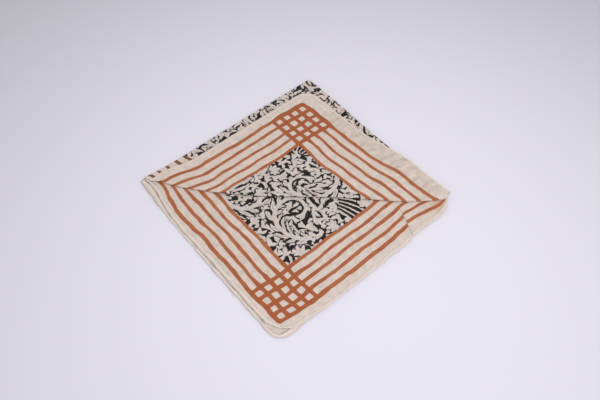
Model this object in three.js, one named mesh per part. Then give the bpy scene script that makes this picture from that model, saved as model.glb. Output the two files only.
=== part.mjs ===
// A hemmed square cotton bandana, folded away: in half, in half again, and then the hem corner
// of its top layer is turned back over the diagonal, so that it points at the folded corner.
//
// The cloth is one sheet in one piece. Flat, a point on it is (u, v) from its middle. Its first
// fold runs along v = 0 and its second along u = 0, which leaves a quarter square of four layers
// lying as a diamond: the folded corner, the middle of the cloth, is "far" (+Y), the loose hem
// corners are "near" (-Y), the first fold runs from far to "right" (+X) and the second from far
// to "left" (-X). In the stack a point is (a, b, z): a is its distance from the second fold, b
// its distance from the first, and z its height over the middle of the lowest layer.
// Millimetres, +Z up, the origin under the middle of the bounding box.
import * as THREE from "three";

// The cloth and its layers.
const SIDE = 560; // the flat cloth, hem to hem
const SHEET = 1; // thickness of one layer
const PITCH = 1.6; // height from one layer to the next
const CREASE = 279; // the turned-back corner's crease lies along a + b = CREASE
const LAYERS = 5; // four, and the corner turned back on top of them

// The net of facets. CREASE is a whole number of cells, so the crease runs through its nodes.
const CELL = 15.5; // spacing of the net
const HEM = 5; // width of its outermost strip
const CREASE_STEPS = 4; // facets round the crease

const HALF = SIDE / 2;
const STACK = PITCH * (LAYERS - 1) + SHEET;
const BEND = PITCH / 2; // radius of a fold between two neighbouring layers
const QUARTER_TURN = (BEND * Math.PI) / 2; // cloth that half of such a fold takes
const SECOND_FOLD = 1.5 * PITCH; // height of the second fold's axis, between layers two and three
const TURN_BACK = 3.5 * PITCH; // height of the crease's axis, over the fourth layer

// The hem corners are sewn round: their radii along u and along v.
const ROUND_CORNERS = [
  { corner: "third layer, near", u: -1, v: 1, alongU: 40, alongV: 24 },
  { corner: "turned back, far", u: -1, v: -1, alongU: 22, alongV: 22 },
  { corner: "second layer, near", u: 1, v: 1, alongU: 18, alongV: 18 },
  { corner: "lowest layer, near", u: 1, v: -1, alongU: 18, alongV: 18 },
];

// How far [a, b] each corner of a layer lies off the true square, and how far [right, left] its
// two hem sides bow outward. One row for each level of layers, from the lowest up.
const LAY = [
  { level: "two lowest", far: [4, -4], right: [2, -3], near: [-2.4, -1.4], left: [4, -1], bow: [1, 1.5] },
  { level: "third", far: [4, -4], right: [-1, -3], near: [-5.5, -6], left: [4, -5], bow: [2.5, 0] },
  { level: "fourth", far: [4, -4], right: [4, -3], near: [3, -9], left: [4, -8], bow: [0, 0] },
  { level: "turned back", far: [4, -4], right: [4, -7], near: [3, -9], left: [4, -8], bow: [0, 0] },
];

// The turned-back corner has slid towards the near side in its middle: how far along a and along
// b, and from where to where on a and on b each slide fades out towards the tips.
const SLIDES = [
  { along: "a", far: 13.5, fadeOnA: [215, 275], fadeOnB: [205, 265] },
  { along: "b", far: 12, fadeOnA: [130, 220], fadeOnB: [235, 280] },
];
const DRAG = { atCrease: 0.68, reach: 25 }; // share of a slide at the crease, fading behind it
const EASE = { share: 0.3, reach: 45 }; // share of a slide lost again near the crease

// Places where the stack is pulled aside: how far [a, b], how far round about, and how many of
// the layers are pulled.
const PULLS = [
  { place: "right tip, drawn in", a: HALF, b: 0, by: [-8.5, 0], reach: 20, layers: LAYERS },
  { place: "first fold, sagging in", a: 155, b: 0, by: [0, 5], reach: 75, layers: LAYERS - 1 },
];

// The right tip stands a little off the surface.
const LIFT = { a: HALF, b: 0, by: 1.6, reach: 34 };

// Soft rises that run up through the whole stack: middle, heading in degrees from a towards b,
// half length, half width, and the height that they add on top.
const RISES = [
  { place: "second fold, puffed", a: 6, b: 120, heading: 90, long: 110, wide: 20, rise: 1.3 },
  { place: "first fold, puffed", a: 110, b: 6, heading: 0, long: 100, wide: 18, rise: 1 },
  { place: "turned-back corner, right buckle", a: 192, b: 42, heading: 80, long: 52, wide: 17, rise: 1.9 },
  { place: "turned-back corner, left buckle", a: 62, b: 196, heading: 10, long: 45, wide: 18, rise: 1.2 },
  { place: "crease, standing up softly", a: 146, b: 142, heading: 135, long: 105, wide: 17, rise: 1.1 },
  { place: "swell beside the near corner", a: 214, b: 232, heading: 40, long: 48, wide: 24, rise: 0.9 },
  { place: "slack towards the right tip", a: 250, b: 84, heading: 30, long: 30, wide: 18, rise: 1.2 },
];

const { clamp, degToRad, lerp, smoothstep } = THREE.MathUtils;
const bell = (distance) => Math.exp(-distance * distance);
const fadeOut = (x, [from, to]) => 1 - smoothstep(x, from, to);

// The flat place of a node of the net, with the hem corners rounded.
function roundedPlace([u, v]) {
  for (const { u: sideU, v: sideV, alongU, alongV } of ROUND_CORNERS) {
    const x = (u * sideU - HALF + alongU) / alongU;
    const y = (v * sideV - HALF + alongV) / alongV;
    if (x > 0 && y > 0) {
      const drawnIn = Math.max(x, y) / Math.hypot(x, y) - 1;
      return [u + sideU * alongU * x * drawnIn, v + sideV * alongV * y * drawnIn];
    }
  }
  return [u, v];
}

// One fold. "travel" is the length of cloth up to the middle of the fold, negative past it. The
// result is the distance from the fold's axis and the height over it.
function foldOver(travel, middleRadius, radius) {
  const taken = (middleRadius * Math.PI) / 2;
  const angle = clamp(travel / taken, -1, 1) * (Math.PI / 2);
  const straight = Math.max(Math.abs(travel) - taken, 0);
  return { from: straight - radius * Math.cos(angle), over: -radius * Math.sin(angle) };
}

// The place in the neatly folded stack of a point w over the cloth's middle surface at (u, v).
function folded(u, v, w) {
  const first = foldOver(-v, BEND, BEND - w);
  const middle = foldOver(-v, BEND, BEND);
  const toAxis = SECOND_FOLD - BEND;
  const second = foldOver(u, toAxis - middle.over, toAxis - first.over);
  const stacked = { a: second.from, b: first.from, z: SECOND_FOLD + second.over };
  const past = (stacked.a + stacked.b - CREASE) / Math.SQRT2;
  if (u > 0 || v > 0 || past < 0) return stacked;
  const third = foldOver(QUARTER_TURN - past, BEND, TURN_BACK - stacked.z);
  const turned = (-third.from - past) / Math.SQRT2;
  return { a: stacked.a + turned, b: stacked.b + turned, z: TURN_BACK + third.over };
}

// How far [a, b] a level of layers lies off the true square.
function offSquare({ far, right, near, left, bow }, a, b) {
  const x = a / HALF;
  const y = b / HALF;
  const corners = [0, 1].map(
    (i) => (far[i] * (1 - x) + right[i] * x) * (1 - y) + (left[i] * (1 - x) + near[i] * x) * y,
  );
  const [bowX, bowY] = [clamp(x, 0, 1), clamp(y, 0, 1)];
  return [
    corners[0] + bow[0] * Math.sin(Math.PI * bowY) * bowX ** 2,
    corners[1] + bow[1] * Math.sin(Math.PI * bowX) * bowY ** 2,
  ];
}

// The share of the slides that a point takes: all on the turned-back corner, less at its crease,
// and behind the crease a little of it drags the layer below along.
function slideShare({ a, b, z }) {
  const behind = Math.max(CREASE - a - b, 0) / Math.SQRT2;
  const dragged = DRAG.atCrease * bell(behind / DRAG.reach) * smoothstep(z / PITCH, 2.2, 2.8);
  const slid = 1 - EASE.share * bell(behind / EASE.reach);
  return lerp(dragged, slid, smoothstep(z / PITCH, 3, 4));
}

// The height that the rises add on top of the stack at (a, b).
function riseAt(a, b) {
  return RISES.reduce((sum, ridge) => {
    const turn = degToRad(ridge.heading);
    const along = (a - ridge.a) * Math.cos(turn) + (b - ridge.b) * Math.sin(turn);
    const across = (b - ridge.b) * Math.cos(turn) - (a - ridge.a) * Math.sin(turn);
    return sum + ridge.rise * bell(along / ridge.long) * bell(across / ridge.wide);
  }, 0);
}

// How much of a pull or a lift there is at (a, b).
const nearness = (at, a, b) => bell(Math.hypot(a - at.a, b - at.b) / at.reach);

// The stack as it lies: layers off square, the turned-back corner slid, edges pulled aside, and
// the whole of it softly uneven in height.
function settled(point) {
  const { a, b, z } = point;
  const level = clamp(z / PITCH - 1, 0, LAY.length - 1);
  const below = Math.min(Math.floor(level), LAY.length - 2);
  const lower = offSquare(LAY[below], a, b);
  const upper = offSquare(LAY[below + 1], a, b);
  const share = slideShare(point);
  const [offA, offB] = SLIDES.map(({ far, fadeOnA, fadeOnB }, i) => {
    const square = lerp(lower[i], upper[i], level - below);
    const slide = share * far * fadeOut(a, fadeOnA) * fadeOut(b, fadeOnB);
    const pulled = PULLS.map((pull) => {
      const held = fadeOut(z / PITCH, [pull.layers - 1 + SHEET / 2 / PITCH, pull.layers]);
      return pull.by[i] * held * nearness(pull, a, b);
    });
    return pulled.reduce((sum, by) => sum + by, square + slide);
  });
  const height = (z + SHEET / 2) * (1 + riseAt(a, b) / STACK);
  return { a: a + offA, b: b + offB, z: height + LIFT.by * nearness(LIFT, a, b) };
}

// A node of the net, w over the middle surface, in the object's own axes.
function place(node, w) {
  const { a, b, z } = settled(folded(...roundedPlace(node), w));
  return new THREE.Vector3((a - b) / Math.SQRT2, -(a + b) / Math.SQRT2, z);
}

// The lines of the net along one direction: close together round the fold in the middle, whose
// bends end after the given numbers of quarter turns, then one every cell, then the hem.
function netLines(bendEnds) {
  const bends = bendEnds.map((turns) => turns * QUARTER_TURN);
  const lines = [QUARTER_TURN / 2, ...bends];
  for (let line = bends.at(-1) + CELL; line < HALF - HEM; line += CELL) lines.push(line);
  lines.push(HALF - HEM, HALF);
  return [...lines.map((line) => -line).reverse(), 0, ...lines];
}

// The flat net: nodes [u, v] and triangles that turn left as seen from above. The diagonals run
// parallel to the crease in every quarter, so facets of stacked layers lie over each other.
function flatNet() {
  const linesU = netLines([1, 2, 3]);
  const linesV = netLines([1]);
  const nodes = linesU.flatMap((u) => linesV.map((v) => [u, v]));
  const triangles = [];
  for (let i = 0; i + 1 < linesU.length; i++) {
    for (let j = 0; j + 1 < linesV.length; j++) {
      const [c00, c01] = [i * linesV.length + j, i * linesV.length + j + 1];
      const [c10, c11] = [c00 + linesV.length, c01 + linesV.length];
      const falling = (linesU[i] + linesU[i + 1]) * (linesV[j] + linesV[j + 1]) >= 0;
      if (falling) triangles.push([c00, c10, c01], [c10, c11, c01]);
      else triangles.push([c00, c10, c11], [c00, c11, c01]);
    }
  }
  return { nodes, triangles };
}

// Cuts the triangles of the turned-back quarter along the line u + v = -reach.
function cutAcross({ nodes, triangles }, reach) {
  const side = (k) => -nodes[k][0] - nodes[k][1] - reach;
  const touching = 1e-6;
  const cuts = new Map();
  const cutBetween = (i, j) => {
    const [low, high] = i < j ? [i, j] : [j, i];
    const key = `${low} ${high}`;
    if (!cuts.has(key)) {
      const share = side(low) / (side(low) - side(high));
      nodes.push(nodes[low].map((from, axis) => lerp(from, nodes[high][axis], share)));
      cuts.set(key, nodes.length - 1);
    }
    return cuts.get(key);
  };
  return triangles.flatMap((triangle) => {
    if (!triangle.every((k) => nodes[k][0] < 0 && nodes[k][1] < 0)) return [triangle];
    const parts = [[], []];
    triangle.forEach((k, corner) => {
      const next = triangle[(corner + 1) % 3];
      if (side(k) < touching) parts[0].push(k);
      if (side(k) > -touching) parts[1].push(k);
      if (Math.min(side(k), side(next)) < -touching && Math.max(side(k), side(next)) > touching) {
        const cut = cutBetween(k, next);
        parts[0].push(cut);
        parts[1].push(cut);
      }
    });
    return parts.flatMap((part) => part.slice(2).map((k, n) => [part[0], part[n + 1], k]));
  });
}

// The edges that only one triangle has, in that triangle's direction.
function hemEdges(triangles) {
  const edges = new Map();
  for (const [i, j, k] of triangles) {
    for (const [from, to] of [[i, j], [j, k], [k, i]]) {
      if (!edges.delete(`${to} ${from}`)) edges.set(`${from} ${to}`, [from, to]);
    }
  }
  return [...edges.values()];
}

// The cloth as a closed sheet: an upper and a lower face, joined round the hem.
function sheetGeometry() {
  const net = flatNet();
  const creaseReach = CREASE + 4 * QUARTER_TURN; // the folds before it take up three and one
  for (let step = 0; step <= CREASE_STEPS; step++) {
    const past = (step / CREASE_STEPS) * 2 * QUARTER_TURN * Math.SQRT2;
    net.triangles = cutAcross(net, creaseReach + past);
  }
  const count = net.nodes.length;
  const faces = net.triangles.flatMap(([i, j, k]) => [i, j, k, count + i, count + k, count + j]);
  const hem = hemEdges(net.triangles).flatMap(([i, j]) => [i, count + i, count + j, i, count + j, j]);
  const upper = net.nodes.map((node) => place(node, SHEET / 2));
  const lower = net.nodes.map((node) => place(node, -SHEET / 2));
  const geometry = new THREE.BufferGeometry().setFromPoints([...upper, ...lower]);
  geometry.setIndex([...faces, ...hem]);
  return geometry;
}

const cotton = new THREE.MeshStandardMaterial({ color: 0xd8ccc0, roughness: 0.92, metalness: 0 });

const cloth = new THREE.Mesh(sheetGeometry(), cotton);
cloth.name = "cloth";
cloth.geometry.computeBoundingBox();
const middle = cloth.geometry.boundingBox.getCenter(new THREE.Vector3());
cloth.geometry.translate(-middle.x, -middle.y, 0);
cloth.geometry.computeVertexNormals();

const bandana = new THREE.Group();
bandana.add(cloth);

export default bandana;
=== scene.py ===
"""The looks of a folded, block-printed cotton bandana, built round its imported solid."""

import math

import bmesh
import bpy
import numpy as np
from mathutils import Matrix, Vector


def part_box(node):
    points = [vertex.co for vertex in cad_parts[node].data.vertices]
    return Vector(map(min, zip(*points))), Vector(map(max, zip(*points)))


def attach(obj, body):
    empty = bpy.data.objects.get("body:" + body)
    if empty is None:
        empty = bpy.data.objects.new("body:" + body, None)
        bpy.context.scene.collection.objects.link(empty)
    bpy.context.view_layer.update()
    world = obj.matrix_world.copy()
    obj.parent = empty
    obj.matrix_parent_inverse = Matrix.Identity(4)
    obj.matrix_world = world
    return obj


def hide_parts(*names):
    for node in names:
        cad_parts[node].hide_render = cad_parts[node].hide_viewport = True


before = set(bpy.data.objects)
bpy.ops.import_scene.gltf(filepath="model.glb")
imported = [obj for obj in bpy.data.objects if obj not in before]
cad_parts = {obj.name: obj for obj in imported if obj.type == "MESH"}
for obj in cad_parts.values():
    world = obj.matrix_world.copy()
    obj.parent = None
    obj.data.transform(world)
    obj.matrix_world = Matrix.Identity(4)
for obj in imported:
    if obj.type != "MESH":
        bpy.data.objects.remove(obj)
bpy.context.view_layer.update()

# ------------------------------------
# The cloth: one square of thin plain-weave cotton with a narrow rolled hem. It is folded in half
# twice, and the hem corner of its top layer is turned back over the diagonal.
# ------------------------------------

# Flat, a point on the cloth is (u, v) from its middle, in millimetres. Folded, it is (a, b, z): a
# from the second fold, b from the first, and z over the lowest layer.
MM = 0.001
SIDE = 560
HALF = SIDE / 2
PITCH = 1.6  # height from one layer to the next
LAYERS = 5  # four, and the corner turned back on top of them
CREASE = 279  # the turned-back corner's crease lies along a + b = CREASE
FLOOR_GAP = 0.5  # height of the lowest layer's middle over what the cloth lies on
STACK = PITCH * (LAYERS - 1) + 2 * FLOOR_GAP

THICK = 0.5  # of the cloth itself
ROLL_WIDE = 1.9  # the rolled hem
ROLL_THICK = 1.05

BEND = PITCH / 2  # radius of a fold between two neighbouring layers
QUARTER_TURN = BEND * math.pi / 2  # cloth that half of such a fold takes
SECOND_FOLD = 1.5 * PITCH  # height of the second fold's axis
TURN_BACK = 3.5 * PITCH  # height of the crease's axis

CELL = 2.9  # spacing of the net of facets
BEND_STEPS = 4  # facets round a quarter turn of a fold
CREASE_STEPS = 8  # facets round the crease
ROLL_LINES = (1.15, 0.85, 0.5, 0.18, 0)  # the net's lines in the hem, as shares of its width
ON_LINE = 1e-4  # a node nearer to a cut than this counts as on it
TINY = 1e-6

# The hem corners are sewn round: side of u, side of v, radius along u, radius along v.
ROUND_CORNERS = [
    (-1, 1, 40, 24),  # third layer, near
    (-1, -1, 22, 22),  # turned back, far
    (1, 1, 18, 18),  # second layer, near
    (1, -1, 18, 18),  # lowest layer, near
]

# How far (a, b) the far, right, near and left corner of a layer lie off the true square, and how
# far its right and left hem bow outward. The first row is for the two lowest layers, then each
# layer has its own.
LAY = [
    ((4, -4), (2, -3), (-2.4, -1.4), (4, -1), (1, 1.5)),
    ((4, -4), (-1, -3), (-5.5, -6), (4, -5), (2.5, 0)),
    ((4, -4), (4, -3), (3, -9), (4, -8), (0, 0)),
    ((4, -4), (4, -7), (3, -9), (4, -8), (0, 0)),
]

# The turned-back corner has slid towards the near side in its middle, along a and then along b:
# how far, and over which stretch of a and of b that fades out.
SLIDES = [
    (13.5, (215, 275), (200, 258)),
    (12, (98, 187), (235, 280)),
]
DRAG_AT_CREASE, DRAG_REACH = 0.68, 25  # share of a slide at the crease, fading behind it
DRAG_FROM = (2.2, 2.8)  # it comes on between these layers
EASE_SHARE, EASE_REACH = 0.3, 45  # share of a slide lost again near the crease
FOLLOW_REACH = 24  # so far from the crease, the turned-back corner still lies as the layer below
FOLLOW_FROM = (4, 26)  # and only from this far in from the first fold

# Where the stack is pulled aside: middle, how far (a, b), how far round, and the layers: the first
# that is pulled, counted from 0 for the lowest, and the first above it that isn't.
PULLS = [
    (HALF, 0, (-14, 0.5), 14, (0, 5)),
    (0, HALF, (-2.5, -2), 24, (0, 4)),
    (6, 270, (3, -3), 24, (4, 5)),
    (54, 224, (2.2, -2.2), 40, (4, 5)),
    (155, 0, (0, 5), 75, (0, 4)),
    (20, HALF, (0, -5), 26, (2, 3)),
    (92, HALF, (0, 1.5), 34, (2, 3)),
    (HALF, 205, (-3, 0), 36, (0, 2)),
    (HALF, 256, (-2.2, 0), 24, (0, 2)),
    (HALF, 256, (-3.6, 0), 24, (2, 3)),
]
LET_GO = 0.7  # share of a layer: a pull is whole between this far under each of the two

# A tuck pinched into the near hem: ends (a, b), how far the cloth beyond it has slipped, how far
# that reaches, and the height and half width of the pinched ridge.
TUCK = dict(start=(240, 63.5), end=(281, 82), slip=2.4, reach=26, height=2.0, half_wide=1.7)
TUCK_BEFORE = 0.1  # share of its length over which it begins, before its start
SLIP_FROM = (-1.2, 1.8)  # the slip comes on between these distances past it

# Small ripples: middle a and b, heading, half length, half width, length of a wave, height.
RIPPLES = [
    (196, 3, 0, 80, 10, 15, 0.9),
    (140, 276, 0, 130, 9, 19, 0.7),
    (276, 170, 90, 90, 9, 23, 0.5),
    (20, 268, 70, 26, 12, 9, 0.5),
]
# The hems sway in and out: how far, length of a swell, shift from one level of layers to the next,
# and between which shares of the way out from the folds it comes on.
HEM_SWAY, HEM_SWELL, LEVEL_SHIFT, SWAY_FROM = 0.7, 31, 53, (0.9, 1)
# The cloth's own slight waves, one across the other: height, then skew, shift and length of each.
UNEVEN = (0.7, (0.4, 0, 74), (-0.3, 19, 61))
# What a wave is made of: share of its height, how often in its length, shift.
SWELLS = [(0.5, 1, 0), (0.3, 1.73, 1.1), (0.2, 2.9, 2.3)]
LIFT, LIFT_REACH = 1.6, 34  # the right tip stands up a little

# Soft rises that run up through the whole stack: middle a and b, heading in degrees from a
# towards b, half length, half width, height added on top.
RISES = [
    (6, 120, 90, 110, 20, 1.3),  # second fold, puffed
    (110, 6, 0, 100, 18, 1.0),  # first fold, puffed
    (192, 42, 80, 52, 17, 1.9),  # turned-back corner, right buckle
    (62, 196, 10, 45, 18, 1.2),  # turned-back corner, left buckle
    (146, 142, 135, 105, 17, 1.1),  # crease, standing up softly
    (214, 232, 40, 48, 24, 0.9),  # swell beside the near corner
    (250, 84, 30, 30, 18, 1.2),  # slack towards the right tip
]


def bell(distance):
    return np.exp(-(distance**2))


def smooth(x, low, high):
    t = np.clip((x - low) / (high - low), 0, 1)
    return t * t * (3 - 2 * t)


def fade_out(x, span):
    return 1 - smooth(x, *span)


def rounded(u, v):
    """The flat place of a node of the square net, with the hem corners rounded."""
    for side_u, side_v, along_u, along_v in ROUND_CORNERS:
        x = (u * side_u - HALF + along_u) / along_u
        y = (v * side_v - HALF + along_v) / along_v
        in_corner = (x > 0) & (y > 0)
        drawn = np.maximum(x, y) / np.maximum(np.hypot(x, y), TINY) - 1
        drawn = np.where(in_corner, drawn, 0)
        u, v = u + side_u * along_u * x * drawn, v + side_v * along_v * y * drawn
    return u, v


def fold_over(travel, middle_radius, radius):
    """Distance from a fold's axis, and height over it, of cloth "travel" before its middle."""
    taken = middle_radius * math.pi / 2
    angle = np.clip(travel / taken, -1, 1) * (math.pi / 2)
    straight = np.maximum(np.abs(travel) - taken, 0)
    return straight - radius * np.cos(angle), -radius * np.sin(angle)


def folded(u, v, w):
    """The place in the neat stack of a point w over the cloth's middle surface at (u, v)."""
    b, over = fold_over(-v, BEND, BEND - w)
    _, middle_over = fold_over(-v, BEND, BEND)
    to_axis = SECOND_FOLD - BEND
    a, over = fold_over(u, to_axis - middle_over, to_axis - over)
    z = SECOND_FOLD + over
    past = (a + b - CREASE) / math.sqrt(2)
    turned = (u <= 0) & (v <= 0) & (past >= 0)
    away, over = fold_over(QUARTER_TURN - past, BEND, TURN_BACK - z)
    carried = np.where(turned, (-away - past) / math.sqrt(2), 0)
    return a + carried, b + carried, np.where(turned, TURN_BACK + over, z)


def off_square(row, a, b):
    """How far (a, b) a level of layers lies off the true square."""
    far, right, near, left, bow = row
    x, y = a / HALF, b / HALF
    bow_x, bow_y = np.clip(x, 0, 1), np.clip(y, 0, 1)
    bows = (np.sin(math.pi * bow_y) * bow_x**2, np.sin(math.pi * bow_x) * bow_y**2)
    return [
        (far[i] * (1 - x) + right[i] * x) * (1 - y)
        + (left[i] * (1 - x) + near[i] * x) * y
        + bow[i] * bows[i]
        for i in (0, 1)
    ]


def ridge(a, b, middle_a, middle_b, heading, half_long, half_wide):
    """A soft ridge of height 1, for (a, b)."""
    turn = math.radians(heading)
    along = (a - middle_a) * math.cos(turn) + (b - middle_b) * math.sin(turn)
    across = (b - middle_b) * math.cos(turn) - (a - middle_a) * math.sin(turn)
    return bell(along / half_long) * bell(across / half_wide)


def sway(x, long):
    """An uneven wave between about -1 and 1, its swells "long" apart."""
    x = x * (2 * math.pi / long)
    return sum(share * np.sin(often * x + shift) for share, often, shift in SWELLS)


def tucked(a, b):
    """How far along the tuck, from 0 to 1, and how far past it towards the right tip."""
    (a0, b0), (a1, b1) = TUCK["start"], TUCK["end"]
    long = math.hypot(a1 - a0, b1 - b0)
    along = ((a - a0) * (a1 - a0) + (b - b0) * (b1 - b0)) / long**2
    past = ((a - a0) * (b1 - b0) - (b - b0) * (a1 - a0)) / long
    return smooth(along, -TUCK_BEFORE, 1), past


def small_rise(a, b):
    """The height of the ripples, of the tuck and of the cloth's own waves."""
    high, (skew_a, shift_a, long_a), (skew_b, shift_b, long_b) = UNEVEN
    waves = sway(a + skew_a * b + shift_a, long_a) * sway(b + skew_b * a + shift_b, long_b)
    rise = high * waves
    for *place, wave, height in RIPPLES:
        turn = math.radians(place[2])
        along = (a - place[0]) * math.cos(turn) + (b - place[1]) * math.sin(turn)
        rise += height * ridge(a, b, *place) * sway(along, wave)
    along, past = tucked(a, b)
    return rise + TUCK["height"] * along * bell(past / TUCK["half_wide"])


def settled(a, b, z):
    """The stack as it lies: off square, slid, pulled aside and softly uneven in height."""
    layer = z / PITCH
    behind = np.maximum(CREASE - a - b, 0) / math.sqrt(2)
    turned = smooth(layer, LAYERS - 2, LAYERS - 1)
    level = np.clip(layer - 1, 0, len(LAY) - 1)
    level -= turned * bell(behind / FOLLOW_REACH) * smooth(b, *FOLLOW_FROM)
    rows = [off_square(row, a, b) for row in LAY]
    shares = [np.clip(1 - np.abs(level - i), 0, 1) for i in range(len(LAY))]
    dragged = DRAG_AT_CREASE * bell(behind / DRAG_REACH) * smooth(layer, *DRAG_FROM)
    slid = 1 - EASE_SHARE * bell(behind / EASE_REACH)
    share = dragged * (1 - turned) + slid * turned
    along, past = tucked(a, b)
    slipped = TUCK["slip"] * along * smooth(past, *SLIP_FROM) * bell(np.maximum(past, 0) / TUCK["reach"])
    offsets = []
    for i, (slide, fade_on_a, fade_on_b) in enumerate(SLIDES):
        off = sum(s * row[i] for s, row in zip(shares, rows))
        off += share * slide * fade_out(a, fade_on_a) * fade_out(b, fade_on_b)
        for middle_a, middle_b, by, reach, (low, high) in PULLS:
            held = smooth(layer, low - 1, low - LET_GO) * fade_out(layer, (high - LET_GO, high))
            off += by[i] * held * bell(np.hypot(a - middle_a, b - middle_b) / reach)
        out, beside = ((a, b), (b, a))[i]
        swell = sway(beside + LEVEL_SHIFT * level, HEM_SWELL)
        off += HEM_SWAY * swell * smooth(out / HALF, *SWAY_FROM)
        offsets.append(off)
    offsets[0] -= slipped
    rise = sum(row[5] * ridge(a, b, *row[:5]) for row in RISES) + small_rise(a, b)
    height = (z + FLOOR_GAP) * (1 + rise / STACK)
    height += LIFT * bell(np.hypot(a - HALF, b) / LIFT_REACH)
    return a + offsets[0], b + offsets[1], height


def net_lines(quarter_turns):
    """Lines of the net along one direction: the fold in the middle, cells, then the rolled hem."""
    bends = [QUARTER_TURN * k / BEND_STEPS for k in range(1, BEND_STEPS * quarter_turns + 1)]
    roll = [HALF - ROLL_WIDE * share for share in ROLL_LINES]
    cells = np.linspace(bends[-1], roll[0], round((roll[0] - bends[-1]) / CELL) + 1)[1:-1]
    lines = [*bends, *cells, *roll]
    return [-line for line in reversed(lines)] + [0] + lines


def flat_net():
    """The flat net as nodes (u, v) and faces, cut along the bend of the turned-back corner."""
    # From its middle out, the second fold takes three quarter turns of cloth, and the first one.
    second_fold, first_fold = 3, 1
    lines_u, lines_v = net_lines(second_fold), net_lines(first_fold)
    net = bmesh.new()
    nodes = [[net.verts.new((u, v, 0)) for v in lines_v] for u in lines_u]
    for here, after in zip(nodes, nodes[1:]):
        for j in range(len(lines_v) - 1):
            net.faces.new((here[j], after[j], after[j + 1], here[j + 1]))
    reach = CREASE + (second_fold + first_fold) * QUARTER_TURN
    for step in range(CREASE_STEPS + 1):
        line = -(reach + step / CREASE_STEPS * 2 * QUARTER_TURN * math.sqrt(2))
        quarter = [f for f in net.faces if all(n.co.x <= 0 and n.co.y <= 0 for n in f.verts)]
        edges, corners = {e for f in quarter for e in f.edges}, {n for f in quarter for n in f.verts}
        where = dict(plane_co=(line / 2, line / 2, 0), plane_no=(1, 1, 0), dist=ON_LINE)
        bmesh.ops.bisect_plane(net, geom=[*quarter, *edges, *corners], **where)
    net.verts.index_update()
    places = np.array([n.co.xy for n in net.verts], float)
    faces = [[n.index for n in f.verts] for f in net.faces]
    net.free()
    return places, faces


def half_thickness(u, v):
    """Half of the cloth's thickness: even, then rolled round at the hem and closed there."""
    inward = HALF - np.maximum(np.abs(u), np.abs(v))
    x = np.clip(1 - 2 * inward / ROLL_WIDE, -1, 1)
    roll = ROLL_THICK / 2 * np.sqrt(1 - x**2)
    return np.where(inward > ROLL_WIDE / 2, np.maximum(roll, THICK / 2), roll)


def lie(net_u, net_v, w):
    """Where a point of the square net lies, w over the cloth's middle surface, in metres."""
    a, b, z = settled(*folded(*rounded(net_u, net_v), w))
    return np.stack([(a - b) / math.sqrt(2), -(a + b) / math.sqrt(2), z], axis=-1) * MM


def add_object(name, data):
    thing = bpy.data.objects.new(name, data)
    bpy.context.scene.collection.objects.link(thing)
    return thing


def on_corners(values):
    """The nodes' values at each corner of the upper faces, then of the lower ones."""
    return np.concatenate([values[f] for f in net_faces] + [values[f[::-1]] for f in net_faces])


net, net_faces = flat_net()
net_u, net_v = net.T
half = half_thickness(net_u, net_v)
on_hem = half < TINY
upper, lower = lie(net_u, net_v, half), lie(net_u, net_v, -half)
to_middle = (Vector(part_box("cloth")[0]) + Vector(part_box("cloth")[1])) / 2
points = np.concatenate([upper, lower])
shift = np.array(to_middle) - (points.min(axis=0) + points.max(axis=0)) / 2
shift[2] = 0
points += shift

# The two faces of the cloth share the nodes along the hem's edge.
upper_index = np.arange(len(net))
lower_index = np.where(on_hem, upper_index, upper_index + len(net))
faces = [list(f) for f in net_faces] + [[int(lower_index[i]) for i in reversed(f)] for f in net_faces]

mesh = bpy.data.meshes.new("bandana_cloth")
mesh.from_pydata([tuple(p) for p in points], [], faces)
cloth = add_object("bandana_cloth", mesh)

# Each corner of a face knows its flat place on the cloth, from 0 to 1 across it, and which side
# of the cloth it is on. The map for baking has the two sides next to each other.
corner_flat = on_corners(np.stack(rounded(net_u, net_v), axis=-1) / SIDE + 0.5)
corner_side = np.repeat([0.0, 1.0], len(corner_flat) // 2)
MAP_MARGIN = 0.01
baked = MAP_MARGIN + corner_flat * (1 - 2 * MAP_MARGIN)
baked[:, 0] = (baked[:, 0] + corner_side) / 2
for name, places in (("ClothFlat", corner_flat), ("OFBake", baked)):
    uv_map = mesh.uv_layers.new(name=name)
    uv_map.uv.foreach_set("vector", places.astype(np.float32).ravel())
corner_hem = on_corners(HALF - np.maximum(np.abs(net_u), np.abs(net_v)))
for name, values in (("printed_side", corner_side), ("from_hem", corner_hem)):
    attribute = mesh.attributes.new(name, "FLOAT", "CORNER")
    attribute.data.foreach_set("value", values.astype(np.float32))
mesh.uv_layers["ClothFlat"].active_render = True
bm = bmesh.new()
bm.from_mesh(mesh)
bmesh.ops.delete(bm, geom=[n for n in bm.verts if not n.link_faces], context="VERTS")
bm.to_mesh(mesh)
bm.free()
mesh.shade_smooth()

# The print, all in millimetres on the flat cloth: a frame of five hand-drawn rust stripes inside
# each hem, crossing in the corners, round a field of cream leaves and scrolls on a black ground.
# It is printed on one side and comes through, a little softer, on the other.
CREAM = (0.685, 0.582, 0.525)
CREAM_HEM_HIGHLIT = (0.755, 0.655, 0.590)  # the rolled hem is two layers thick, and paler still as its painted highlight
CREAM_STRIPED = (0.675, 0.560, 0.502)  # between the stripes, where the dye has spread
CREAM_FIELD = (0.590, 0.528, 0.510)  # between the black, greyed by it
CREAM_DULL = (0.590, 0.525, 0.440)
CREAM_ROSY = (0.715, 0.560, 0.530)
SHOWN_THROUGH_AND_SHADE = (0.400, 0.285, 0.205)  # print seen through a layer, and the painted shade in the hem's groove and along the tuck
SHADE_GLOW = (0.560, 0.320, 0.210)
RUST, RUST_DEEP = (0.420, 0.136, 0.053), (0.355, 0.096, 0.036)
RUST_TWICE = (0.365, 0.091, 0.029)  # in the corners, deepest where two stripes cross
RUST_FACE_SHADED = (0.185, 0.078, 0.038)  # on the printed face, where it lies thickest, and darker still as painted shade of the folds where that face shows
BLACK = (0.013, 0.010, 0.011)
BLACK_COVERS, RUST_COVERS = 0.985, 0.97  # share of the cloth's colour that a dye hides
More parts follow.
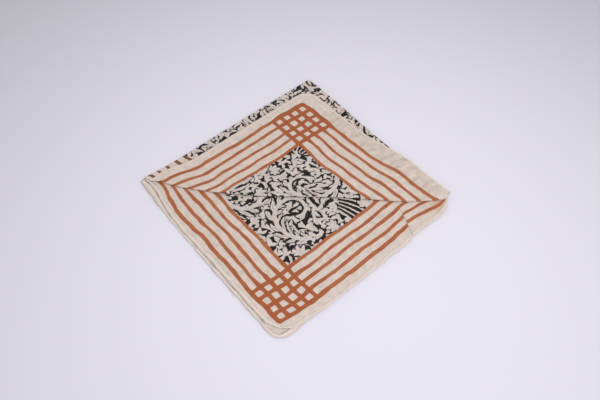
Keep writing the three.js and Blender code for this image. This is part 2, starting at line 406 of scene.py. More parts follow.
INK_BACK, INK_FACE = 0.15, -0.05  # how far the black stays back from its edges, on each side
EDGE = 0.3  # half width of a dye's soft edge

# Patches in the bare cloth: colour, spacing, shift, the unevenness over which they come on.
PATCHES = [
    (CREAM_DULL, 10, (0, 0), (-0.08, 0.3)),
    (CREAM_ROSY, 12, (260, 90), (-0.02, 0.25)),
]
PATCH_SHARE, PATCHY_SHADE = 0.7, (0.34, 8, 2.0, (70, 410))
TINT_STRIPED, TINT_FIELD = (-3, 5), (-2, 3)  # a tint comes on between these depths inside it
FACE_LACKS = 0.6  # share of the field's tint missing on the printed face
SLUB_LONG, SLUB_FINE = 0.09, 1.6  # slubs to a millimetre, along the yarn and across it
SLUB_SHIFT = 40  # between the two ways of the weave
SLUB_FROM, SLUB_SHARE = (0.0, 0.3), 0.6
HEM_FADE = 0.6  # width over which the hem's colour ends
GROOVE_SHADE_AT, GROOVE_SHADE_SIDE, GROOVE_SHADE_SHARE = 0.7, (0.2, 0.7), 0.2  # painted shade of a groove along the hem's inner edge
# The turned-back corner's far margin lies on printed cloth: its limits in -u, in -v and in v.
MARGIN_FROM, MARGIN_NEAR, MARGIN_FAR = (250, 258), (10, 70), (-238, -222)
BLOTS, BLOT_LONG, BLOT_FROM = (1, 6.5, 1.5), 2, (-0.08, 0.25)
LEAST_SHOWN, MORE_IN_BLOTS = 0.06, 0.38
# Painted shade and glow under the turned-back corner at the right tip: middle u and v, reach along each,
# share at the middle.
SHADE_GLOW_AT, SHADE_GLOW_REACH, SHADE_GLOW_SHARE = (-266, 27), (11, 13), 0.55
RUST_TONE, DEEP_FROM = (1, 16, 2.0), (-0.2, 0.25)  # where the rust is deeper
RUST_CORNER, RUST_CROSSING = 0.75, 0.25  # shares of RUST_TWICE in a corner and a crossing
PINCH_SHADE_WIDE, PINCH_SHADE_SHARE = 0.79, 0.8  # half width and share of the painted shade along the tuck
WEAVE_HIGH, SLUBS_HIGH, CREPE = 0.12, 0.5, (0.5, 3.2, 2.0)  # the relief

# The hand of the cutter and the give of the cloth push the print about. For this and every other
# noise: how much, spacing of the swells, fine detail; then a shift, here of the second direction.
SHAKE, SHAKE_SHIFT = (1.6, 5, 1.0), (300, 80)
DRIFT, DRIFT_SHIFT = (3.0, 45, 0.0), (500, 0)

# Where the stripes of the u < 0 side bow: middle v, half length, how far outward.
BOWS = [
    (0, 31, 8.5),
    (-116, 38, -6.2),
]
THREAD = 0.9  # from one warp thread to the next but one
STRIPES = 5
STRIPE_WIDE = 4.35
TUCKED_IN = 2.2  # printed cloth that the tuck hides
THINNER_PAST_TUCK = 0.3  # share taken off the stripes' width beyond it
THINNER_REACH = (60, 90)  # that is over between these distances past it
TUCK_ON_PRINT = (-12, 0.6)  # it comes on from this far along it to this share of its length
OUTERMOST_WIDER = 0.12  # share added to a stripe's width
LATTICE_WIDER = {-1: 0.38, 1: 0.14}  # the same where stripes cross, by the sign of v
LATTICE_FROM = 208  # the stripes cross beyond this
LATTICE_EDGE = (LATTICE_FROM - 8, LATTICE_FROM + 4)  # and widen over this stretch
LATTICE_DEEP = (LATTICE_FROM - 12, LATTICE_FROM)  # and deepen in colour here
ROUNDED_BY = 6  # how softly the outermost stripe turns a corner
SQUEEZE = {-1: 2.0, 1: 3.0}  # how far stripe ends bend inward, by the sign of v
SQUEEZE_LONG = 45  # over this last stretch before the hem
WOBBLE = (3.4, 30, 1.5)  # of a stripe's line
UNEVEN_WIDTH = (0.55, 16, 1.0, (90, 0))  # share by which a stripe's width varies
STRIPE_SHIFT, SIDE_SHIFT = 37, 400  # each stripe and side takes its noise from elsewhere
IN_CROSSING = (-0.3, 0.5)  # a crossing's deeper colour comes on between these depths
CROSSING_SOFT = 1.5  # how softly two stripes meet
# The sides differ, as the cloth was pulled for printing. For each side, by its sign, and for each
# half of it: the distance from the middle to the innermost stripe, and from one stripe to the
# next. Last comes where one half goes over into the other, within HALVES_MEET of it.
HALVES_MEET = 18
FRAME_U = ({-1: (203, 216.6), 1: (210, 212)}, {-1: (13.6, 12.3), 1: (12.8, 12.5)}, 0)
FRAME_V = ({-1: (211.6, 220), 1: (222, 221)}, {-1: (13.5, 13.2), 1: (12.15, 12.2)}, -14)

# The field's edge is ragged, and comes on between these depths.
FIELD_RAGGED, FIELD_FROM = (3.0, 9), (0.4, 1.0)
# The field repeats after this much of u and v, each column half a repeat lower than the last.
REPEAT_U, REPEAT_V = 150, 107

# The small petals that fill the ground: spacing, length, width.
PETAL_SPACING, PETAL_LONG, PETAL_WIDE = 6.6, 10.5, 4.3
PETAL_SIZES = (0.75, 0.5)  # the smallest petal's share of that, and what is added at most

# Stems that curl inward, in one repeat: middle u and v, radius at the root, start and sweep in
# degrees, share of the radius lost for each radian, hand.
SCROLLS = [
    (48, 28, 34, 60, 330, 0.24, 1),
    (-12, 3.5, 42, 195, 372, 0.25, -1),
]

# Leaves of spread fingers, in one repeat: root u and v, heading in degrees, reach.
PALMS = [
    (14, 34, 215, 15),
    (42, -22, 120, 14),
    (-62, 40, 300, 15),
    (66, -6, 40, 13),
    (-58, -20, 80, 13),
    (4, -40, 160, 12),
    (30, 2, 20, 12),
]

# Fans of blades, each only once on the whole cloth: root u and v, heading and half spread in
# degrees, reach.
FANS = [
    (-163, 140, 238, 18, 70),
    (-180, -196, 200, 36, 30),
    (150, -60, 20, 38, 40),
]
PALM_OUTLINE, SCROLL_OUTLINE = 2.0, 2.6  # black round a leaf and round a scroll
VEIN_DARK, VEIN_SOFT = 0.6, 0.2

VECTOR, NUMBER = "NodeSocketVector", "NodeSocketFloat"


def new_paint(name, settings):
    """A material, its node tree, and its shader with the settings."""
    paint = bpy.data.materials.new(name)
    paint.use_nodes = True
    shader = paint.node_tree.nodes["Principled BSDF"]
    for title, value in settings.items():
        shader.inputs[title].default_value = value
    return paint, paint.node_tree, shader


def give_looks(shader, colour, height, strength, depth):
    """Joins a colour to a shader, and a height as relief of this depth in millimetres."""
    inputs = (("Height", height), ("Strength", strength), ("Distance", depth * MM))
    relief = first_out(colour.tree, "ShaderNodeBump", inputs)
    for title, wire in (("Base Color", colour), ("Normal", relief)):
        wire.tree.links.new(wire.socket, shader.inputs[title])


class Wire:
    """A number or a vector in a node tree. Sums on wires add Math nodes."""

    def __init__(self, socket):
        self.socket, self.tree = socket, socket.id_data

    def __add__(self, other):
        return maths("ADD", self, other)

    def __sub__(self, other):
        return maths("SUBTRACT", self, other)

    def __rsub__(self, other):
        return maths("SUBTRACT", other, self)

    def __mul__(self, other):
        return maths("MULTIPLY", self, other)

    def __truediv__(self, other):
        return maths("DIVIDE", self, other)

    def __abs__(self):
        return maths("ABSOLUTE", self)

    __radd__, __rmul__ = __add__, __mul__


def add_node(tree, kind, inputs=(), **settings):
    """A node with its settings, and its inputs set or joined, given as (input, value)."""
    node = tree.nodes.new(kind)
    for name, value in settings.items():
        setattr(node, name, value)
    for name, value in inputs:
        if isinstance(value, Wire):
            tree.links.new(value.socket, node.inputs[name])
        else:
            node.inputs[name].default_value = value
    return node


def first_out(*node, **settings):
    return Wire(add_node(*node, **settings).outputs[0])


def maths(operation, *values):
    tree = next(v.tree for v in values if isinstance(v, Wire))
    return first_out(tree, "ShaderNodeMath", enumerate(values), operation=operation)


def larger(x, y):
    return maths("MAXIMUM", x, y)


def smaller(x, y):
    return maths("MINIMUM", x, y)


def hump(x):
    """What bell() is, on a wire."""
    return maths("EXPONENT", x * x * -1)


def step_up(x, low, high):
    """0 below low, 1 above high, softly between."""
    inputs = (("Value", x), ("From Min", low), ("From Max", high))
    return first_out(x.tree, "ShaderNodeMapRange", inputs, interpolation_type="SMOOTHSTEP")


def inked(depth, soft=EDGE):
    """1 where a place is inside a shape and 0 outside, softly over its edge."""
    return step_up(depth, -soft, soft)


def vector(x, y):
    return first_out(x.tree, "ShaderNodeCombineXYZ", (("X", x), ("Y", y)))


def parts(place):
    node = add_node(place.tree, "ShaderNodeSeparateXYZ", ((0, place),))
    return Wire(node.outputs["X"]), Wire(node.outputs["Y"])


def moved(place, by, operation="ADD"):
    return first_out(place.tree, "ShaderNodeVectorMath", ((0, place), (1, by)), operation=operation)


def uneven(place, by, spacing, detail=0.0, shift=(0, 0)):
    """Smooth noise from about -by / 2 to by / 2, its swells about "spacing" apart."""
    if any(shift):
        place = moved(place, (*shift, 0))
    inputs = (("Vector", place), ("Scale", 1 / spacing), ("Detail", detail))
    return (first_out(place.tree, "ShaderNodeTexNoise", inputs, noise_dimensions="2D") - 0.5) * by


def start_group(name, vectors, numbers, results):
    """A node group, its input wires, and its end, whose inputs take the results."""
    tree = bpy.data.node_groups.new(name, "ShaderNodeTree")
    sockets = [(title, "INPUT", VECTOR) for title in vectors]
    sockets += [(title, "INPUT", NUMBER) for title in numbers]
    sockets += [(title, "OUTPUT", NUMBER) for title in results]
    for title, way, kind in sockets:
        tree.interface.new_socket(title, in_out=way, socket_type=kind)
    start = tree.nodes.new("NodeGroupInput")
    wires = [Wire(start.outputs[title]) for title in (*vectors, *numbers)]
    return tree, wires, tree.nodes.new("NodeGroupOutput")


def finish_group(tree, end, **results):
    for title, wire in results.items():
        tree.links.new(wire.socket, end.inputs[title])
    return tree


def use_group(tree, group, *values):
    """The results of a group by name, for values in the order of its inputs."""
    node = add_node(tree, "ShaderNodeGroup", enumerate(values), node_tree=group)
    return {socket.name: Wire(socket) for socket in node.outputs}


def petal_group():
    """One petal, a little bent and heavier at its root: how far a place is inside it."""
    numbers = ["Angle", "Length", "Width"]
    tree, (offset, angle, length, width), end = start_group("petal", ["Offset"], numbers, ["Inside"])
    droop, taper, blunt = 1.5, 0.4, 0.7
    inputs = (("Vector", offset), ("Angle", angle))
    x, y = parts(first_out(tree, "ShaderNodeVectorRotate", inputs, rotation_type="Z_AXIS"))
    half_long = length * 0.5
    t = x / half_long
    arch = larger(1 - t * t, 0)
    beside = abs(y - (arch - 0.5) * droop)
    widest = width * 0.5 * maths("POWER", arch, blunt) * (1 + taper * t)
    beyond = larger(abs(t) - 1, 0) * half_long
    return finish_group(tree, end, Inside=widest - beside - beyond)


def scattered_petals(tree, place):
    """Petals one to a cell, spreading to both sides of the way their neighbours head."""
    petal = petal_group()
    heading_spacing, heading_turns, spread = 38, 2.2, 1.9
    found = []
    for feature in ("F1", "F2"):
        inputs = (("Vector", place), ("Scale", 1 / PETAL_SPACING), ("Randomness", 0.85))
        cells = add_node(tree, "ShaderNodeTexVoronoi", inputs, voronoi_dimensions="2D", feature=feature)
        middle = Wire(cells.outputs["Position"])
        chance, size_chance = parts(Wire(cells.outputs["Color"]))
        angle = uneven(middle, 2 * math.pi * heading_turns, heading_spacing)
        size = PETAL_SIZES[0] + PETAL_SIZES[1] * size_chance
        offset, angle = moved(place, middle, "SUBTRACT"), angle + (chance - 0.5) * spread
        made = use_group(tree, petal, offset, angle, PETAL_LONG * size, PETAL_WIDE * size)
        found.append(made["Inside"])
    return larger(*found)


def nearest_copy(place, middle):
    """A place seen from the nearest copy of a point in the repeat."""
    u, v = parts(moved(place, middle, "SUBTRACT"))
    column = maths("ROUND", u / REPEAT_U)
    v = v + column * (REPEAT_V / 2)
    return u - column * REPEAT_U, maths("WRAP", v, REPEAT_V / 2, -REPEAT_V / 2)


def scroll_group():
    """A stem that curls inward, with leaves on both sides: how far a place is inside it."""
    numbers = ["Radius", "Start", "Sweep", "Curl", "Hand"]
    tree, wires, end = start_group("scroll", ["Place", "Middle"], numbers, ["Inside", "Vein"])
    place, middle, root_radius, start, sweep, curl, hand = wires
    stem_half, root_share, stem_taper = 2.1, 1.2, 0.35
    leaf_step, leaf_half, leaf_slant, leaf_bend, blunt = 12.5, 4.3, 0.9, 0.03, 0.6
    shortest, longer_out, longest_of_all, length_share = 4.5, 0.3, 12, 0.8
    lobe_step, lobe_shift, lobe_deep = 5.2, 0.7, 0.4
    vein_half, vein_share, vein_ends = 0.45, 0.22, 20
    leaf_shift, leaf_length = (12, 26), (1.5, 30)
    half_round = (2.4, 3.4)
    smallest, gone = 0.5, 9  # the least radius, and enough to take a leaf away
    u, v = nearest_copy(place, middle)
    v = v * hand
    away = larger(maths("SQRT", u * u + v * v), smallest)
    angle = maths("FLOORED_MODULO", maths("ARCTAN2", v, u) - start, 2 * math.pi)
    # The nearest turn of the spiral.
    turned = maths("LOGARITHM", root_radius / away, math.e) / curl
    turns = larger(maths("ROUND", (turned - angle) / (2 * math.pi)), 0)
    angle = angle + turns * (2 * math.pi)
    radius = root_radius * maths("EXPONENT", angle * curl * -1)
    share = smaller(angle / sweep, 1)
    past = larger(angle - sweep, 0) * radius
    out = away - radius
    reach = abs(out)
    stem = stem_half * (root_share - stem_taper * share) - reach - past
    # The leaves of the two sides take turns along the stem, a little unevenly.
    along = (root_radius - radius) / curl + uneven(place, *leaf_shift)
    cell = along - reach * leaf_slant - reach * reach * leaf_bend
    cell = cell + maths("SIGN", out) * (leaf_step / 4)
    cell = maths("FLOORED_MODULO", cell, leaf_step) - leaf_step / 2
    longest = smaller(shortest + radius * longer_out, longest_of_all)
    longest = longest * (length_share + uneven(place, *leaf_length))
    t = smaller(reach / longest, 1)
    lobes = abs(maths("SINE", reach * (math.pi / lobe_step) + lobe_shift))
    lobes = (1 - lobe_deep) + lobe_deep * maths("POWER", lobes, blunt)
    wide = maths("POWER", larger(maths("SINE", t * math.pi), 0), blunt) * leaf_half * lobes
    leaf = wide - abs(cell) - past - larger(reach - longest, 0)
    # No leaf grows on an inner turn, nor on the inner side once the stem has curled half round.
    leaf = leaf - turns * gone - step_up(out * -1, 0, 1) * step_up(angle, *half_round) * gone
    beyond_vein = larger(abs(t - 0.5) - vein_share, 0)
    vein = vein_half - abs(cell) - beyond_vein * vein_ends
    return finish_group(tree, end, Inside=larger(stem, leaf), Vein=vein - past)


def palm_group():
    """A leaf of spread fingers from one root: how far a place is inside it."""
    numbers = ["Heading", "Reach"]
    tree, wires, end = start_group("palm leaf", ["Place", "Root"], numbers, ["Inside"])
    place, root, heading, reach = wires
    step, side_fingers = math.radians(36), 3
    shorter, slim, widest = 0.06, 0.36, 3.4
    u, v = nearest_copy(place, root)
    away = maths("SQRT", u * u + v * v)
    turn = maths("WRAP", maths("ARCTAN2", v, u) - heading, math.pi, -math.pi)
    finger = maths("ROUND", turn / step)
    finger = larger(smaller(finger, side_fingers), -side_fingers)
    longest = reach * (1 - shorter * finger * finger)
    across = abs(turn - finger * step) * away
    t = smaller(away / longest, 1)
    wide = maths("POWER", larger(1 - t * t, 0), 0.5)
    wide = wide * smaller(away * slim, widest)
    return finish_group(tree, end, Inside=wide - across - larger(away - longest, 0))


def fan_group():
    """A fan of blades from one root: how far a place is inside a blade, and inside the fan."""
    numbers = ["Heading", "Spread", "Reach"]
    tree, wires, end = start_group("fan", ["Place", "Root"], numbers, ["Blade", "Fan"])
    place, root, heading, spread, reach = wires
    blades, bend, blade_share, hollow = 5, -0.006, 0.17, 0.5
    x, y = parts(moved(place, root, "SUBTRACT"))
    away = maths("SQRT", x * x + y * y)
    turn = maths("ARCTAN2", y, x) - heading - away * bend
    turn = maths("WRAP", turn, math.pi, -math.pi)
    step = spread * (2 / blades)
    across = (maths("FLOORED_MODULO", turn / step, 1) - 0.5) * step * away
    blade = step * away * blade_share - abs(across)
    sideways = (spread - abs(turn)) * away
    endways = smaller(reach - away, away - reach * hollow)
    return finish_group(tree, end, Blade=blade, Fan=smaller(sideways, endways))


def lay_over(ink, inside, outline, soft=0.25):
    """A cream shape with a black outline, laid over the ink that is there."""
    covered = step_up(inside, -outline - soft, -outline + soft)
    return larger(ink, covered) * (1 - inked(inside, soft))


def leaf_field(tree, place, held_back):
    """The black ink of the field: a black ground with everything cream laid over it."""
    scroll, palm, fan = scroll_group(), palm_group(), fan_group()
    ink = 1 - inked(scattered_petals(tree, place) + held_back)
    for u, v, heading, spread, reach in FANS:
        heading, spread = math.radians(heading), math.radians(spread)
        found = use_group(tree, fan, place, (u, v, 0), heading, spread, reach)
        over = inked(found["Fan"])
        ink = ink * (1 - over) + over * (1 - inked(found["Blade"], EDGE / 2))
    for u, v, heading, reach in PALMS:
        found = use_group(tree, palm, place, (u, v, 0), math.radians(heading), reach)
        ink = lay_over(ink, found["Inside"] + held_back, PALM_OUTLINE)
    for u, v, radius, start, sweep, curl, hand in SCROLLS:
        start, sweep = math.radians(start), math.radians(sweep)
        found = use_group(tree, scroll, place, (u, v, 0), radius, start, sweep, curl, hand)
        ink = lay_over(ink, found["Inside"] + held_back, SCROLL_OUTLINE)
        ink = larger(ink, inked(found["Vein"], VEIN_SOFT) * VEIN_DARK)
    return ink


def by_sign(x, values):
    """One value where x is positive, another where it is negative."""
    return (values[1] + values[-1]) / 2 + maths("SIGN", x) * ((values[1] - values[-1]) / 2)


def by_side(sign, along, halves, turn):
    """A number that differs between two opposite sides and between the halves of each."""
    blend = step_up(along, turn - HALVES_MEET, turn + HALVES_MEET)
    ends = [by_sign(sign, {side: half[n] for side, half in halves.items()}) for n in (0, 1)]
    return ends[0] + blend * (ends[1] - ends[0])


def stripe_frame(u, v, thinner):
    """How far a place is inside a rust stripe, inside a crossing, inside the frame and its field."""
    sides = []
    for across, along, (firsts, steps, turn) in ((u, v, FRAME_U), (v, u, FRAME_V)):
        sign, far_along = maths("SIGN", across), abs(along)
        first, step = by_side(sign, along, firsts, turn), by_side(sign, along, steps, turn)
        squeezed = step_up(far_along, HALF - SQUEEZE_LONG, HALF) * by_sign(v, SQUEEZE)
        off = abs(across) + squeezed
        number = smaller(larger(maths("ROUND", (off - first) / step), 0), STRIPES - 1)
        in_lattice = step_up(far_along, *LATTICE_EDGE) * by_sign(v, LATTICE_WIDER)

        def stripe(number, wider):
            """How far outside a stripe's middle line a place is, and half the stripe's width."""
            line = vector(along, number * STRIPE_SHIFT + sign * SIDE_SHIFT)
            half = STRIPE_WIDE / 2 * (1 + uneven(line, *UNEVEN_WIDTH)) * (1 + in_lattice)
            apart = off - first - number * step - uneven(line, *WOBBLE)
            return apart, half * (1 + wider) * (1 - thinner)

        is_outermost = maths("GREATER_THAN", number, STRIPES - 1.5)
        apart, half = stripe(number, is_outermost * OUTERMOST_WIDER)
        outermost, outer_half = stripe(STRIPES - 1, OUTERMOST_WIDER)
        innermost, _ = stripe(0, 0)
        sides.append((half - abs(apart), outer_half - outermost, innermost * -1))
    (in_u, edge_u, field_u), (in_v, edge_v, field_v) = sides
    within = maths("SMOOTH_MIN", edge_u, edge_v, ROUNDED_BY)
    half_rim = STRIPE_WIDE / 2 * (1 + OUTERMOST_WIDER)
    rim = half_rim - abs(within - half_rim)
    stripes = larger(maths("SMOOTH_MAX", in_u, in_v, CROSSING_SOFT), rim)
    crossing = smaller(smaller(in_u, in_v), within)
    return smaller(stripes, within), crossing, within, smaller(field_u, field_v)


def push(place, noise, shift):
    """A vector that pushes a place about, along u and along v."""
    return vector(uneven(place, *noise), uneven(place, *noise, shift))


def tuck_on_print(u, v):
    """The tuck, as a line on the print: how far along it, from 0 to 1, and how far past it."""
    (tuck_a, tuck_b), (end_a, end_b) = TUCK["start"], TUCK["end"]
    long = math.hypot(end_a - tuck_a, end_b - tuck_b)
    way_a, way_b = (end_a - tuck_a) / long, (end_b - tuck_b) / long
    from_a, from_b = u * -1 - tuck_a, v - tuck_b
    before, grown = TUCK_ON_PRINT
    along = step_up(from_a * way_a + from_b * way_b, before, long * grown)
    return along, from_a * way_b - from_b * way_a


def mixed(factor, under, over):
    """The colour "under" with "over" laid on it, as far as the factor says."""
    under, over = [c if isinstance(c, Wire) else (*c, 1) for c in (under, over)]
    a, b, result = 6, 7, 2  # the node's sockets for colours, past those for numbers and vectors
    inputs = ((0, factor), (a, under), (b, over))
    return Wire(add_node(factor.tree, "ShaderNodeMix", inputs, data_type="RGBA").outputs[result])


def yarn_slubs(u, v):
    """Thick and thin places in the yarn, both ways of the weave."""
    along_u = vector(u * SLUB_LONG, v * SLUB_FINE)
    along_v = vector(u * SLUB_FINE, v * SLUB_LONG + SLUB_SHIFT)
    return uneven(along_u, 1, 1, 1.0) + uneven(along_v, 1, 1, 1.0)


def bare_cotton(place, side, within, field, slubs):
    """The cloth's own colour: tinted where there is dye about, patchy, with slubs in the yarn."""
    colour = mixed(step_up(within, *TINT_STRIPED), CREAM, CREAM_STRIPED)
    in_field = step_up(field, *TINT_FIELD) * (1 - side * FACE_LACKS)
    colour = mixed(in_field, colour, CREAM_FIELD)
    for patch, spacing, shift, comes_on in PATCHES:
        patchy = uneven(place, 1, spacing, 2.0, shift)
        colour = mixed(step_up(patchy, *comes_on) * PATCH_SHARE, colour, patch)
    colour = mixed(step_up(slubs, *SLUB_FROM) * SLUB_SHARE, colour, CREAM_DULL)
    shade = 1 + uneven(place, *PATCHY_SHADE)
    return first_out(shade.tree, "ShaderNodeHueSaturation", (("Color", colour), ("Value", shade)))


def lit_through(colour, u, v, side):
    """What shows through the cloth: print on the layer beneath, and painted shade and glow at the right
    tip.
    """
    over_print = step_up(u * -1, *MARGIN_FROM) * step_up(v * -1, *MARGIN_NEAR) * step_up(v, *MARGIN_FAR)
    blots = step_up(uneven(vector(u / BLOT_LONG, v), *BLOTS), *BLOT_FROM)
    shown = LEAST_SHOWN + MORE_IN_BLOTS * blots
    colour = mixed(over_print * (1 - side) * shown, colour, SHOWN_THROUGH_AND_SHADE)
    # Painted shade and glow: the turned-back corner shades the layer below at the right tip.
    shade_glow = hump((u - SHADE_GLOW_AT[0]) / SHADE_GLOW_REACH[0]) * hump((v - SHADE_GLOW_AT[1]) / SHADE_GLOW_REACH[1])
    return mixed(shade_glow * SHADE_GLOW_SHARE, colour, SHADE_GLOW)


def hem_colour(colour, hem):
    """The rolled hem paler, two layers thick and with a painted highlight, and a faint painted shade of
    a groove along its inner edge.
    """
    # Painted highlight on the roll, and painted shade of a groove beside it.
    colour = mixed(1 - step_up(hem, ROLL_WIDE, ROLL_WIDE + HEM_FADE), colour, CREAM_HEM_HIGHLIT)
    groove_shade = 1 - step_up(abs(hem - ROLL_WIDE - GROOVE_SHADE_AT), *GROOVE_SHADE_SIDE)
    return mixed(groove_shade * GROOVE_SHADE_SHARE, colour, SHOWN_THROUGH_AND_SHADE)


def rust_dye(place, u, v, side, crossing):
    """The stripes' colour: uneven, deeper in the corners, and on the printed face deeper with painted
    shade of its folds.
    """
    colour = mixed(step_up(uneven(place, *RUST_TONE), *DEEP_FROM), RUST, RUST_DEEP)
    deeper = step_up(smaller(abs(u), abs(v)), *LATTICE_DEEP) * RUST_CORNER
    deeper = deeper + step_up(crossing, *IN_CROSSING) * RUST_CROSSING
    # The printed face's rust also carries painted shade of the folds where it shows.
    return mixed(side, mixed(deeper, colour, RUST_TWICE), RUST_FACE_SHADED)


def cotton_print():
    """The printed cotton: cloth, black, rust and the shadow of the tuck, over a woven relief."""
    settings = {"Roughness": 0.92, "Specular IOR Level": 0.12, "Sheen Weight": 0.05}
    paint, tree, shader = new_paint("block_printed_cotton", settings)
    flat_map = first_out(tree, "ShaderNodeUVMap", uv_map="ClothFlat")
    centred = moved(flat_map, (0.5, 0.5, 0), "SUBTRACT")
    place = moved(centred, (SIDE, SIDE, 0), "MULTIPLY")
    side, hem = [
        Wire(add_node(tree, "ShaderNodeAttribute", attribute_name=name).outputs["Fac"])
        for name in ("printed_side", "from_hem")
    ]

    # Every edge is pushed about a little, one side bows, and the tuck hides a strip of print.
    drift = push(place, DRIFT, DRIFT_SHIFT)
    shaken = moved(moved(place, push(place, SHAKE, SHAKE_SHIFT)), drift)
    u, v = parts(moved(place, drift))
    for middle, half_long, by in BOWS:
        u = u + hump((v - middle) / half_long) * by * maths("LESS_THAN", u, 0)
    along, past = tuck_on_print(u, v)
    beyond = along * maths("GREATER_THAN", past, 0)
    thinner = beyond * (1 - step_up(past, *THINNER_REACH)) * THINNER_PAST_TUCK
    # A painted shade along the tuck's fold.
    pinch_shade = hump(past / PINCH_SHADE_WIDE) * along
    u = u - beyond * hump(past / TUCK["reach"]) * TUCKED_IN

    stripes, crossing, within, field = stripe_frame(u, v, thinner)
    black = leaf_field(tree, shaken, INK_BACK + side * (INK_FACE - INK_BACK))
    black = black * step_up(field + uneven(place, *FIELD_RAGGED), *FIELD_FROM)
    slubs = yarn_slubs(u, v)
    colour = bare_cotton(place, side, within, field, slubs)
    colour = hem_colour(lit_through(colour, u, v, side), hem)
    colour = mixed(black * BLACK_COVERS, colour, BLACK)
    colour = mixed(inked(stripes) * RUST_COVERS, colour, rust_dye(place, u, v, side, crossing))
    colour = mixed(pinch_shade * PINCH_SHADE_SHARE, colour, SHOWN_THROUGH_AND_SHADE)

    weave = maths("SINE", u * (2 * math.pi / THREAD)) * maths("SINE", v * (2 * math.pi / THREAD))
    height = slubs * SLUBS_HIGH + weave * WEAVE_HIGH + uneven(place, *CREPE)
    give_looks(shader, colour, height, strength=0.55, depth=0.35)
    return paint


cloth.data.materials.append(cotton_print())

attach(cloth, "root")
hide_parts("cloth")

# ------------------------------------
# The hem's stitches: one line of cream cotton thread, machine sewn through the rolled hem near
# its inner edge, showing on both faces of the cloth.
# ------------------------------------
STITCH_LONG, STITCH_STEP = 2.1, 3.1
THREAD_THICK = 0.3
STITCH_UNEVEN = 0.12  # share by which the stitches differ in length
STITCH_LINE = 1.45  # distance from the hem's edge
THREAD_OVER = 0.06  # how far the thread's middle lies over the cloth's face
STITCH_SIDES, STITCH_RINGS = 5, 4  # facets round a stitch and along it
THREAD_SEED = 4
CREAM_THREAD = (0.80, 0.72, 0.64)
THREAD_SHADE, THREAD_PATCHES = 0.95, (0.4, 4 * MM)
FIBRE = 0.25  # spacing of the thread's fibres


def stitch_places():
    """The middle of every stitch, the way it runs, and the way out of the cloth."""
    line = HALF - STITCH_LINE
    each = round(2 * line / STITCH_STEP)
    run = (np.arange(each) + 0.5) / each * 2 * line - line
    edge = np.full(each, line)
    sides = [(run, edge, (1, 0)), (edge, -run, (0, -1)), (-run, -edge, (-1, 0)), (-edge, run, (0, 1))]
    middles, ways, outs = [], [], []
    for u, v, (to_u, to_v) in sides:
        out = half_thickness(u, v) + THREAD_OVER
        for face in (1, -1):
            middle = lie(u, v, out * face)
            middles.append(middle + shift)
            ways.append(lie(u + to_u, v + to_v, out * face) - lie(u - to_u, v - to_v, out * face))
            outs.append(middle - lie(u, v, 0 * out))
    return [np.concatenate(rows) for rows in (middles, ways, outs)]


def stitching(thread):
    """Geometry Nodes that lay a stitch at every point, along its way and flat on the cloth."""
    tree = bpy.data.node_groups.new("stitching", "GeometryNodeTree")
    sizes = {
        "Stitch Length": (NUMBER, STITCH_LONG * MM),
        "Thread Thickness": (NUMBER, THREAD_THICK * MM),
        "Unevenness": (NUMBER, STITCH_UNEVEN),
        "Seed": ("NodeSocketInt", THREAD_SEED),
        "Thread": ("NodeSocketMaterial", thread),
    }
    tree.interface.new_socket("Geometry", in_out="INPUT", socket_type="NodeSocketGeometry")
    sockets = {
        title: tree.interface.new_socket(title, in_out="INPUT", socket_type=kind)
        for title, (kind, _) in sizes.items()
    }
    tree.interface.new_socket("Geometry", in_out="OUTPUT", socket_type="NodeSocketGeometry")
    start, end = tree.nodes.new("NodeGroupInput"), tree.nodes.new("NodeGroupOutput")
    needs = {title: Wire(start.outputs[title]) for title in ("Geometry", *sizes)}

    def named(title):
        inputs = (("Name", title),)
        node = add_node(tree, "GeometryNodeInputNamedAttribute", inputs, data_type="FLOAT_VECTOR")
        return Wire(next(s for s in node.outputs if s.enabled))

    # One stitch, and the way it is turned: first along the hem, then flat on the cloth.
    shape = (("Segments", STITCH_SIDES), ("Rings", STITCH_RINGS), ("Radius", 0.5))
    grain = first_out(tree, "GeometryNodeMeshUVSphere", shape)
    grain = first_out(tree, "GeometryNodeSetShadeSmooth", (("Geometry", grain),))
    turn = "FunctionNodeAlignRotationToVector"
    turned = first_out(tree, turn, (("Vector", named("way")),), axis="Z")
    inputs = (("Rotation", turned), ("Vector", named("out")))
    turned = first_out(tree, turn, inputs, axis="Y", pivot_axis="Z")

    chance = add_node(tree, "FunctionNodeRandomValue", (("Seed", needs["Seed"]),), data_type="FLOAT")
    for title, value in (("Min", -1.0), ("Max", 1.0)):
        next(s for s in chance.inputs if s.name == title and s.enabled).default_value = value
    chance = Wire(next(s for s in chance.outputs if s.enabled))
    long = needs["Stitch Length"] * (1 + chance * needs["Unevenness"])
    thick = needs["Thread Thickness"]
    size = first_out(tree, "ShaderNodeCombineXYZ", (("X", thick), ("Y", thick), ("Z", long)))
    inputs = (("Points", needs["Geometry"]), ("Instance", grain), ("Rotation", turned), ("Scale", size))
    laid = first_out(tree, "GeometryNodeInstanceOnPoints", inputs)
    real = first_out(tree, "GeometryNodeRealizeInstances", (("Geometry", laid),))
    inputs = (("Geometry", real), ("Material", needs["Thread"]))
    painted = first_out(tree, "GeometryNodeSetMaterial", inputs)
    tree.links.new(painted.socket, end.inputs[0])
    return tree, {sockets[title].identifier: value for title, (_, value) in sizes.items()}


def cotton_thread():
    paint, tree, shader = new_paint("hem_thread", {"Roughness": 0.8})
    place = Wire(add_node(tree, "ShaderNodeTexCoord").outputs["Object"])
    shade = THREAD_SHADE + uneven(place, *THREAD_PATCHES)
    tint = first_out(tree, "ShaderNodeCombineColor", enumerate(shade * c for c in CREAM_THREAD))
    give_looks(shader, tint, uneven(place, 1, FIBRE * MM, 1.0), strength=0.5, depth=0.1)
    return paint


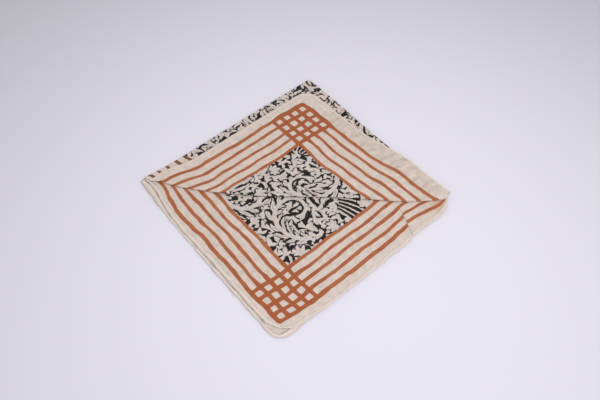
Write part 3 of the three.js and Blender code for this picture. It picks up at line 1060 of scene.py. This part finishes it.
middles, ways, outs = stitch_places()
hem_mesh = bpy.data.meshes.new("hem_stitches")
hem_mesh.from_pydata([tuple(p) for p in middles], [], [])
for name, values in (("way", ways), ("out", outs)):
    attribute = hem_mesh.attributes.new(name, "FLOAT_VECTOR", "POINT")
    attribute.data.foreach_set("vector", values.astype(np.float32).ravel())
hem_stitches = add_object("hem_stitches", hem_mesh)
sewing = hem_stitches.modifiers.new("stitching", "NODES")
thread = cotton_thread()
sewing.node_group, sewing_sizes = stitching(thread)
for identifier, value in sewing_sizes.items():
    sewing[identifier] = value
sewn = hem_stitches.evaluated_get(bpy.context.evaluated_depsgraph_get())
stitches = bpy.data.meshes.new_from_object(sewn)
hem_stitches.data = stitches
hem_stitches.modifiers.clear()
stitches.materials.clear()  # drops the empty slot beside the thread's
stitches.materials.append(thread)
stitches.polygons.foreach_set("material_index", [0] * len(stitches.polygons))
for name in ("way", "out"):
    stitches.attributes.remove(stitches.attributes[name])

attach(hem_stitches, "root")
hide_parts("cloth")

# ------------------------------------
# The floor: a pale sheet under the cloth, with painted shade darkening it away from its middle.
# ------------------------------------
FLOOR_SIZE = 8
FLOOR_COLOUR = (0.816, 0.792, 0.895)
FLOOR_SHADED_FAR, FLOOR_SHADE_REACH = 0.57, 0.61  # painted shade: share of that colour left far away, and how far it takes

bpy.ops.mesh.primitive_plane_add(size=FLOOR_SIZE)
floor = bpy.context.object
floor.name = "floor"
floor_paint, floor_tree, floor_shader = new_paint("floor_paper", {"Roughness": 0.9})
floor_place = Wire(add_node(floor_tree, "ShaderNodeTexCoord").outputs["Object"])
floor_x, floor_y = parts(floor_place)
# Painted shade: the floor darkens away from its middle, as light falls off.
painted_falloff = hump(floor_x / FLOOR_SHADE_REACH) * hump(floor_y / FLOOR_SHADE_REACH)
painted_falloff = FLOOR_SHADED_FAR + (1 - FLOOR_SHADED_FAR) * painted_falloff
shaded_floor_colour = first_out(floor_tree, "ShaderNodeCombineColor", enumerate(painted_falloff * c for c in FLOOR_COLOUR))
floor_tree.links.new(shaded_floor_colour.socket, floor_shader.inputs["Base Color"])
floor.data.materials.append(floor_paint)

# ------------------------------------
# Light and camera: an even white surround with one large soft lamp, and a view from the near
# side, down on the cloth.
# ------------------------------------
SURROUND = 0.62
LAMP_AT = Vector((0.42, -0.5, 1.15))
LAMP_SIZE = 0.9
LAMP_POWER = 8.2
CAMERA_AT = Vector((0.0341, -0.3775, 0.5285))
CAMERA_DOWN, CAMERA_TURN = 55.59, -4.01  # degrees
CAMERA_LENS = 31.2

world = bpy.data.worlds.new("studio")
bpy.context.scene.world = world
world.use_nodes = True
surround = world.node_tree.nodes["Background"].inputs
surround["Color"].default_value = (1, 1, 1, 1)
surround["Strength"].default_value = SURROUND

lamp_data = bpy.data.lights.new("lamp", "AREA")
lamp_data.shape = "DISK"
lamp_data.size = LAMP_SIZE
lamp_data.energy = LAMP_POWER
lamp = add_object("lamp", lamp_data)
lamp.location = LAMP_AT
lamp.rotation_euler = (-LAMP_AT).to_track_quat("-Z", "Y").to_euler()

camera_data = bpy.data.cameras.new("camera")
camera_data.lens = CAMERA_LENS
camera = add_object("camera", camera_data)
camera.location = CAMERA_AT
camera.rotation_euler = (math.radians(90 - CAMERA_DOWN), 0, math.radians(-CAMERA_TURN))
bpy.context.scene.camera = camera
bpy.context.scene.view_settings.view_transform = "Standard"
